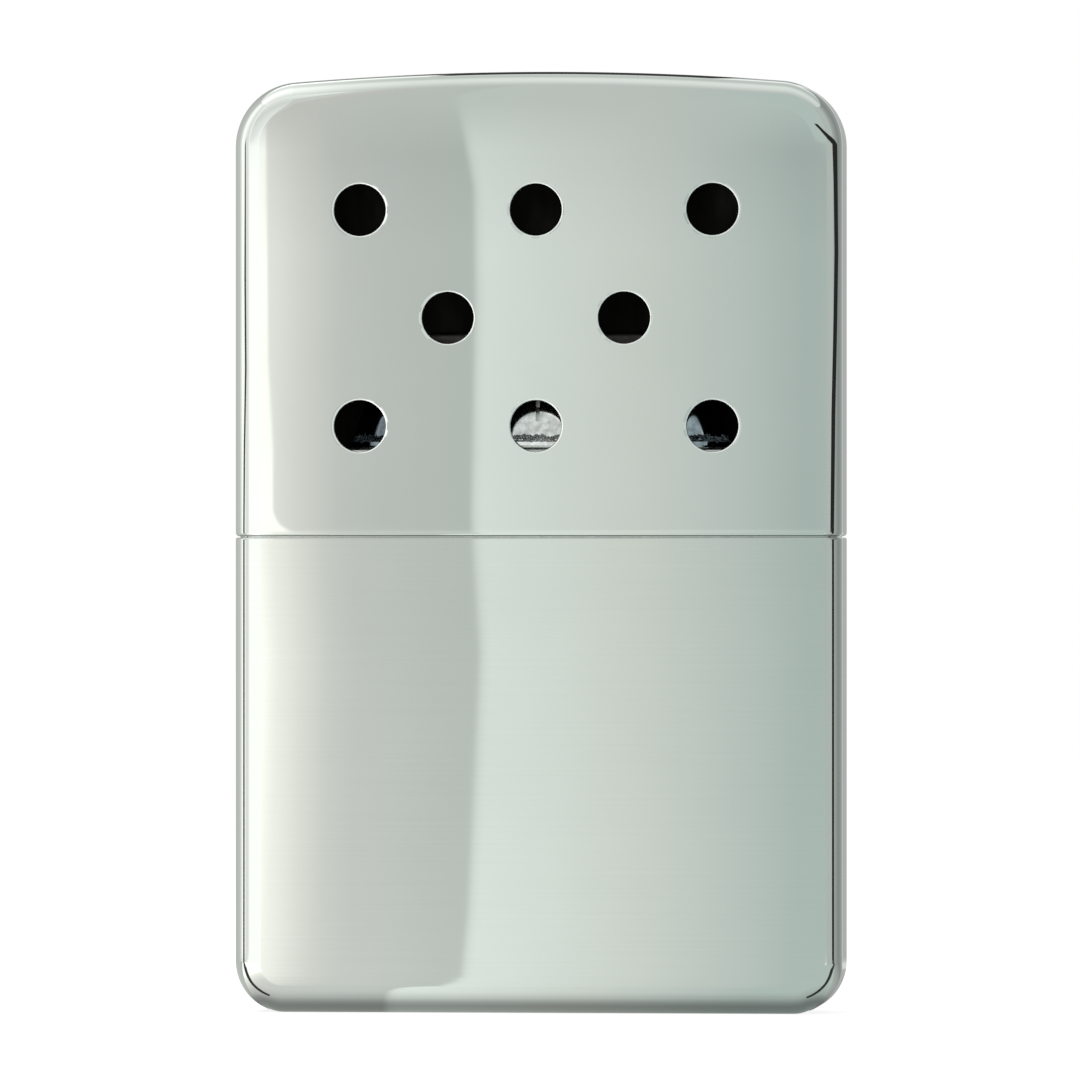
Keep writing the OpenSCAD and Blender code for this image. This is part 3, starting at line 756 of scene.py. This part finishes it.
photoView = {
    "turn": 5.5,            # degrees that the camera stands to the object's right
    "distance": 1.2,
    "frameWide": 0.11738,   # metres that the picture spans at the object
    "centre": (-0.00016, 0.0, 0.05127),
}
studio = {
    "radius": 0.17,         # of the ring of cards, round the object
    "high": 0.24,
    "frontY": -0.0865,      # of the flat scrim in front
    "white": 1.6,           # strength of the cards that show as white
    # turn round the ring in degrees, from straight in front to the right, and the card's strength there
    "ring": ((-180, 0.50), (-163, 0.41), (-131, 0.67), (-105, 0.80), (-96, 1.05), (-90, 1.55), (-84, 1.55),
             (-76, 1.35), (-70, 1.10), (-64, 1.15), (-58, 1.50), (58, 0.70), (82, 0.72), (88, 0.58), (112, 0.36),
             (128, 0.42), (150, 0.46), (156, 0.50), (158, 1.20), (162, 1.20), (163.5, 0.46), (180, 0.55)),
    # height of each station of a dark flag, its turn in degrees, half its width in degrees and half its rise in metres
    "leftFlag": ((0.0, -82.0, 3.4, 0), (0.0525, -82.0, 3.4, 0), (0.061, -80.0, 3.4, 0), (0.072, -73.5, 3.6, 0),
                 (0.083, -76.0, 3.6, 0), (0.100, -75.0, 2.0, 0), (0.120, -74.0, 0.4, 0)),
    "rightFlag": ((0.0, 84.5, 4.6, 0), (0.0515, 84.5, 4.6, 0), (0.0520, 81.0, 8.0, 0), (0.0665, 86.5, 9.0, 0),
                  (0.078, 96.5, 10.0, 0), (0.086, 102.0, 11.0, 0), (0.096, 97.0, 10.0, 0.002),
                  (0.106, 85.0, 7.5, 0.004), (0.118, 67.0, 3.0, 0.006), (0.123, 55.0, 1.0, 0.006),
                  (0.122, 43.0, 0.0, 0.004), (0.118, 35.0, 0.0, 0.0004)),
    # a dark flag low behind draws the thin dark line along the crown: its ends across, then its depth and height
    "crownAcross": (-0.036, 0.012),
    "crownFlag": ((0.163, 0.106), (0.163, 0.239), (0.112, 0.241)),
    "flagTone": {"leftFlag": 0.07, "rightFlag": 0.03, "crownFlag": 0.06, "foot": 0.05},
    # across the front scrim, in metres: its strength left and right of the brighter part's edge
    "lidTones": ((-0.060, 1.18), (-0.0395, 1.14), (-0.0360, 0.98), (-0.0312, 0.83), (-0.0260, 0.78),
                 (-0.0152, 0.74), (-0.0148, 1.10), (-0.0050, 1.00), (0.0095, 0.86), (0.0165, 0.79),
                 (0.0240, 0.68), (0.1500, 0.70)),
    "caseTones": ((-0.060, 1.6), (-0.0415, 1.6), (-0.0397, 1.32), (-0.0385, 1.26), (-0.0360, 1.08),
                  (-0.0333, 0.93), (-0.0300, 0.86), (-0.0152, 0.765), (-0.0148, 1.12), (-0.0050, 1.04),
                  (0.0165, 0.80), (0.0240, 0.71), (0.1500, 0.70)),
    # the tint of that light, from warm at the left to cool green at the right
    "tints": ((-0.0450, (1.00, 1.00, 0.995)), (-0.0400, (1.02, 1.00, 0.965)), (-0.0290, (0.985, 1.00, 0.98)),
              (-0.0160, (0.955, 1.00, 0.975)), (0.0060, (0.965, 1.00, 0.965)), (0.0240, (0.885, 1.00, 0.985))),
    "ringTints": ((-0.17, (1.00, 1.00, 0.98)), (0.17, (0.95, 1.00, 0.99))),  # of all the other cards
    "seam": 0.0522,         # height at which the lid's reflection begins on the scrim
    # height and the left end of the lid's grey part, in millimetres; its lower corner is round
    "whiteEdge": ((0.000, -39.3), (0.062, -39.3), (0.072, -39.9), (0.085, -40.0), (0.10, -40.2), (0.24, -40.2)),
    "corner": 0.0030,
    # height and how far the brighter part's edge leans there, in millimetres
    "edgeLean": ((0.000, -1.2), (0.008, -0.4), (0.038, 1.0), (0.0505, 0.2), (0.054, 0.0), (0.080, 0.5),
                 (0.092, 0.3), (0.098, -0.8), (0.106, -2.4), (0.16, -3.0)),
    # height and share of the strength there
    "heightTones": ((0.0, 1.08), (0.012, 1.05), (0.045, 1.0), (0.085, 1.0), (0.0955, 0.92), (0.24, 0.92)),
    "topTone": 0.79,        # an even grey takes over from here up
    "topFrom": (0.0965, 0.1025),
    "topShare": 0.85,
    # distance on the floor from the object's flat foot, and the share of the cards' strength there: a painted contact
    # shadow, which the chrome's lower edge reflects
    "apron": ((0.0, 0.50), (0.0010, 0.40), (0.0018, 0.31), (0.0027, 0.44), (0.0039, 0.74), (0.0057, 0.90),
              (0.0083, 1.0), (0.1700, 1.0)),
    "foot": (0.0295, 0.0035),  # half the size of that foot
    "apronMost": 0.75,      # strength of the floor at the sides and behind, at most
    # along the floor, x and y in metres and half the width of the strip that carries a flag's foot to the corner
    "footFlags": (((0.166, -0.001, 0.009), (0.0566, -0.0098, 0.0035), (0.0364, -0.0074, 0.0008),
                   (0.0300, -0.0071, 0.0003)),
                  ((-0.164, -0.023, 0.008), (-0.0566, -0.0122, 0.0035), (-0.0364, -0.0080, 0.0009),
                   (-0.0300, -0.0073, 0.0003))),
    "leftTones": ((0.0, 1.6), (0.094, 1.6), (0.110, 1.20), (0.150, 1.0), (0.24, 1.3)),  # height and strength
    # strength of the card overhead, from front to back and from left to right; the two are multiplied
    "overDepth": ((-0.13, 0.80), (-0.08, 0.80), (-0.055, 0.93), (-0.028, 1.08), (-0.008, 1.14), (0.012, 1.12),
                  (0.045, 0.82), (0.085, 0.82), (0.13, 1.35), (0.17, 1.5)),
    "overSide": ((-0.17, 1.5), (-0.060, 1.45), (-0.046, 1.15), (-0.034, 1.02), (0.17, 0.9)),
    "overEdges": (0.17, -0.128, 0.168),  # half its width, and where it starts and ends
    "overGap": 0.004,       # between the ring's top and that card
    "join": 58.5,           # turn at which the flat front meets the ring, on both sides
    "overlap": 0.003,       # how far the flat front runs past the ring there
    "frontEnds": (-0.046, 0.10),  # across the scrim in front, and where the white card at the left ends
    "leftEnd": -0.0455,
    "floorWide": (-0.15, 0.10),   # across the card on the floor in front
    "floorLow": 0.00006,    # its height; the other card on the floor lies at half that, the flags at twice
}


def addCard(name, verts, faces, paint):
    # a studio card that only reflections see; paint is its strength, or the function that gives it
    mesh = bpy.data.meshes.new(name)
    mesh.from_pydata(verts, [], faces)
    card = placed(name, mesh)
    material, tree = bareMaterial(name + "Paper")
    axes = addNode(tree, "SeparateXYZ", links={0: addNode(tree, "TexCoord").outputs["Object"]})
    tints = studio["tints" if name in ("frontScrim", "floorApron") else "ringTints"]
    glow = addNode(tree, "Emission", links={"Color": toneAlong(tree, axes.outputs[0], tints, 1.05)})
    if callable(paint):
        connect(tree, glow, {"Strength": paint(tree, *axes.outputs)})
    else:
        glow.inputs["Strength"].default_value = paint
    addNode(tree, "OutputMaterial", links={"Surface": glow})
    mesh.materials.append(material)
    card.visible_camera = card.visible_shadow = card.visible_diffuse = False


def toneAlong(tree, source, stops, scale=2.0):
    # a strength or a tint that changes from stop to stop along a length; a ramp holds at most 1, hence scale
    low, high = stops[0][0], stops[-1][0]
    share = addNode(tree, "MapRange", {"From Min": low, "From Max": high}, {"Value": source})
    scaled = [((place - low) / (high - low), np.array(tone, dtype=float) / scale) for place, tone in stops]
    ramp = addNode(tree, "ValToRGB", {
        "stops": [(at, (*tone, 1) if tone.ndim else (tone, tone, tone, 1)) for at, tone in scaled]},
        {0: share})
    return addNode(tree, "VectorMath SCALE", {"Scale": scale}, {0: ramp})


def paintFront(tree, x, y, z):
    lean = toneAlong(tree, z, [(height, 3 + way) for height, way in studio["edgeLean"]], 6.0)
    drift = addNode(tree, "MapRange", {"From Min": 0.0, "From Max": 6.0, "To Min": -0.003, "To Max": 0.003},
                    {"Value": lean})
    across = addNode(tree, "Math SUBTRACT", links={0: x, 1: drift})
    lidPart = toneAlong(tree, across, studio["lidTones"])
    casePart = toneAlong(tree, across, studio["caseTones"])
    # the lid's grey part ends in a round corner: how far a point lies past that corner's centre, each way
    corner = studio["corner"]
    edge = toneAlong(tree, z, [(height, -place) for height, place in studio["whiteEdge"]], 100.0)
    left = addNode(tree, "Math MULTIPLY_ADD", {1: mm}, {0: edge, 2: x})
    leftPast = addNode(tree, "Math SUBTRACT", {0: corner}, {1: left})
    rise = addNode(tree, "Math SUBTRACT", {1: studio["seam"]}, {0: z})
    downPast = addNode(tree, "Math SUBTRACT", {0: corner}, {1: rise})
    leftOnly = addNode(tree, "Math MAXIMUM", {1: 0.0}, {0: leftPast})
    downOnly = addNode(tree, "Math MAXIMUM", {1: 0.0}, {0: downPast})
    both = addNode(tree, "CombineXYZ", links={0: leftOnly, 1: downOnly})
    past = addNode(tree, "VectorMath LENGTH", links={0: both}).outputs["Value"]
    outside = addNode(tree, "MapRange", {"From Min": corner - 0.00015, "From Max": corner + 0.00015}, {"Value": past})
    onLid = addNode(tree, "MapRange", {"From Min": -0.0001, "From Max": 0.0001}, {"Value": rise})
    lidWhole = addNode(tree, "Mix", {"data_type": "FLOAT", 3: studio["white"]}, {0: outside, 2: lidPart})
    whole = addNode(tree, "Mix", {"data_type": "FLOAT"}, {0: onLid, 2: casePart, 3: lidWhole})
    shade = toneAlong(tree, z, studio["heightTones"])
    shaded = addNode(tree, "Math MULTIPLY", links={0: whole, 1: shade})
    return evenTop(tree, z, shaded)


def evenTop(tree, z, strength):
    start, end = studio["topFrom"]
    share = addNode(tree, "MapRange", {
        "From Min": start, "From Max": end, "To Max": studio["topShare"]}, {"Value": z})
    return addNode(tree, "Mix", {"data_type": "FLOAT", 3: studio["topTone"]}, {0: share, 2: strength})


# painted contact shadow: the share of a floor card's strength, least just round the object's foot
def footShadowShare(tree, x, y):
    past = []
    for place, half in zip((x, y), studio["foot"]):
        away = addNode(tree, "Math ABSOLUTE", links={0: place})
        beyond = addNode(tree, "Math SUBTRACT", {1: half}, {0: away})
        past.append(addNode(tree, "Math MAXIMUM", {1: 0.0}, {0: beyond}))
    flat = addNode(tree, "CombineXYZ", links={0: past[0], 1: past[1]})
    distance = addNode(tree, "VectorMath LENGTH", links={0: flat}).outputs["Value"]
    return toneAlong(tree, distance, studio["apron"])


def paintFrontApron(tree, x, y, z):
    return addNode(tree, "Math MULTIPLY", links={0: paintFront(tree, x, y, z), 1: footShadowShare(tree, x, y)})


def paintRingApron(tree, x, y, z):
    grey = addNode(tree, "Math MINIMUM", {1: studio["apronMost"]}, {0: paintRing(tree, x, y, z)})
    return addNode(tree, "Math MULTIPLY", links={0: grey, 1: footShadowShare(tree, x, y)})


def paintLeft(tree, x, y, z):
    return toneAlong(tree, z, studio["leftTones"])


def paintRing(tree, x, y, z):
    back = addNode(tree, "Math MULTIPLY", {1: -1.0}, {0: y})
    turn = addNode(tree, "Math ARCTAN2", links={0: x, 1: back})
    degrees = addNode(tree, "Math DEGREES", links={0: turn})
    return toneAlong(tree, degrees, studio["ring"])


def paintOverhead(tree, x, y, z):
    depth = toneAlong(tree, y, studio["overDepth"])
    side = toneAlong(tree, x, studio["overSide"])
    return addNode(tree, "Math MULTIPLY", links={0: depth, 1: side})


def ringPoint(turn, radius):
    angle = math.radians(turn)
    return radius * math.sin(angle), -radius * math.cos(angle)


def addStrip(name, stations, paint):
    # stations are pairs of points, joined in turn
    verts = [point for pair in stations for point in pair]
    addCard(name, verts, [(2 * i, 2 * i + 1, 2 * i + 3, 2 * i + 2) for i in range(len(stations) - 1)], paint)


def addFlag(name):
    # hangs just inside the cards
    stations = []
    for height, turn, half, rise in studio[name]:
        pair = []
        for side in (-1, 1):
            way = turn + side * half
            radius = studio["radius"] - 0.004
            if math.cos(math.radians(way)) > 0.3:
                radius = min(radius, (-studio["frontY"] - 0.002) / math.cos(math.radians(way)))
            pair.append(ringPoint(way, radius) + (height + side * rise,))
        stations.append(pair)
    addStrip(name, stations, studio["flagTone"][name])


def addStudio():
    high, frontY, join = studio["high"], studio["frontY"], studio["join"]
    (left, right), far = studio["frontEnds"], studio["radius"] + studio["overlap"]
    around = [ringPoint(join + (360 - 2 * join) * i / 60, studio["radius"]) for i in range(61)]
    front = [(left, frontY), (right, frontY), ringPoint(join, far)]
    addStrip("frontScrim", [((x, y, 0), (x, y, high)) for x, y in front], paintFront)
    beside = [ringPoint(-join, far), (studio["leftEnd"], frontY)]
    addStrip("leftSoftbox", [((x, y, 0), (x, y, high)) for x, y in beside], paintLeft)
    # on the floor the cards' tones run on to the object's foot, darkened round it by a painted contact shadow
    low, (footX, footY) = studio["floorLow"], studio["foot"]
    addStrip("floorApron", [((x, frontY, low), (x, -footY, low)) for x in studio["floorWide"]], paintFrontApron)
    addStrip("ringApron", [((x, y, low / 2), (min(max(x, -footX), footX), min(max(y, -footY), footY), low / 2))
                           for x, y in around], paintRingApron)
    for name, stations in zip(("rightFootFlag", "leftFootFlag"), studio["footFlags"]):
        addStrip(name, [((x, y - half, 2 * low), (x, y + half, 2 * low)) for x, y, half in stations],
                 studio["flagTone"]["foot"])
    addStrip("ringScrim", [((x, y, 0), (x, y, high)) for x, y in around], paintRing)
    addFlag("leftFlag")
    addFlag("rightFlag")
    low, high = studio["crownAcross"]
    addStrip("crownFlag", [((low, y, z), (high, y, z)) for y, z in studio["crownFlag"]],
             studio["flagTone"]["crownFlag"])
    half, start, end = studio["overEdges"]
    top = studio["high"] + studio["overGap"]
    addStrip("overheadScrim", [((-half, y, top), (half, y, top)) for y in (start, end)], paintOverhead)


floorLook = {
    "paper": "#f0f0f0",
    "clear": 0.60,          # share of the camera's view that is plain white instead of lit paper
    "lift": 1.30,           # strength of that white, so that no horizon shows
    "world": (0.65, 1.0),   # strength of the world for the light that falls on things, and for what is seen
}


def raysThatSee(tree):
    # 1 for what the camera sees, straight or in metal or through glass, and 0 for the light that falls on things
    path = addNode(tree, "LightPath").outputs
    mirrored = addNode(tree, "Math MAXIMUM", links={0: path["Is Glossy Ray"], 1: path["Is Transmission Ray"]})
    return addNode(tree, "Math MAXIMUM", links={0: path["Is Camera Ray"], 1: mirrored})


def addFloor():
    mesh = bpy.data.meshes.new("floor")
    mesh.from_pydata([(-3, -3, 0), (3, -3, 0), (3, 3, 0), (-3, 3, 0)], [], [(0, 1, 2, 3)])
    floor = placed("floor", mesh)
    material, tree = bareMaterial("floorPaper")
    paper = addNode(tree, "BsdfDiffuse", {"Color": linearColour(floorLook["paper"])})
    glow = addNode(tree, "Emission", {"Color": (1, 1, 1, 1), "Strength": floorLook["lift"]})
    share = addNode(tree, "Math MULTIPLY", {1: floorLook["clear"]}, {0: raysThatSee(tree)})
    mix = addNode(tree, "MixShader", links={0: share, 1: paper, 2: glow})
    addNode(tree, "OutputMaterial", links={"Surface": mix})
    mesh.materials.append(material)


def addWorld():
    # white for the camera and for reflections, softer for what lights the floor and the cloth
    world = bpy.data.worlds.new("studio")
    bpy.context.scene.world = world
    world.use_nodes = True
    tree = world.node_tree
    tree.nodes.clear()
    lit, seen = floorLook["world"]
    strength = addNode(tree, "MapRange", {"To Min": lit, "To Max": seen}, {"Value": raysThatSee(tree)})
    back = addNode(tree, "Background", {"Color": (1, 1, 1, 1)}, {"Strength": strength})
    addNode(tree, "OutputWorld", links={"Surface": back})


def addLamp(name, place, size, power, aim=(0, 0, 0.05)):
    data = bpy.data.lights.new(name, "AREA")
    data.shape = "RECTANGLE"
    data.size, data.size_y = size
    data.energy = power
    lamp = placed(name, data)
    lamp.location = place
    lamp.rotation_euler = (Vector(aim) - Vector(place)).to_track_quat("-Z", "Y").to_euler()
    lamp.visible_glossy = False  # the cards draw the reflections


addFloor()
addWorld()
addStudio()
addLamp("keySoftbox", (-0.35, -0.55, 0.75), (0.6, 0.5), 5)
addLamp("fillSoftbox", (0.7, -0.3, 0.5), (0.6, 0.6), 2)

camera = placed("camera", bpy.data.cameras.new("camera"))
bpy.context.scene.camera = camera
turn = math.radians(photoView["turn"])
aim = Vector(photoView["centre"])
camera.location = aim + Vector((math.sin(turn), -math.cos(turn), 0)) * photoView["distance"]
camera.rotation_euler = (aim - camera.location).to_track_quat("-Z", "Y").to_euler()
camera.data.sensor_width = 36
camera.data.lens = 36 * photoView["distance"] / photoView["frameWide"]
camera.data.clip_start, camera.data.clip_end = 0.01, 20
bpy.context.scene.view_settings.view_transform = "Standard"
print("stage set")
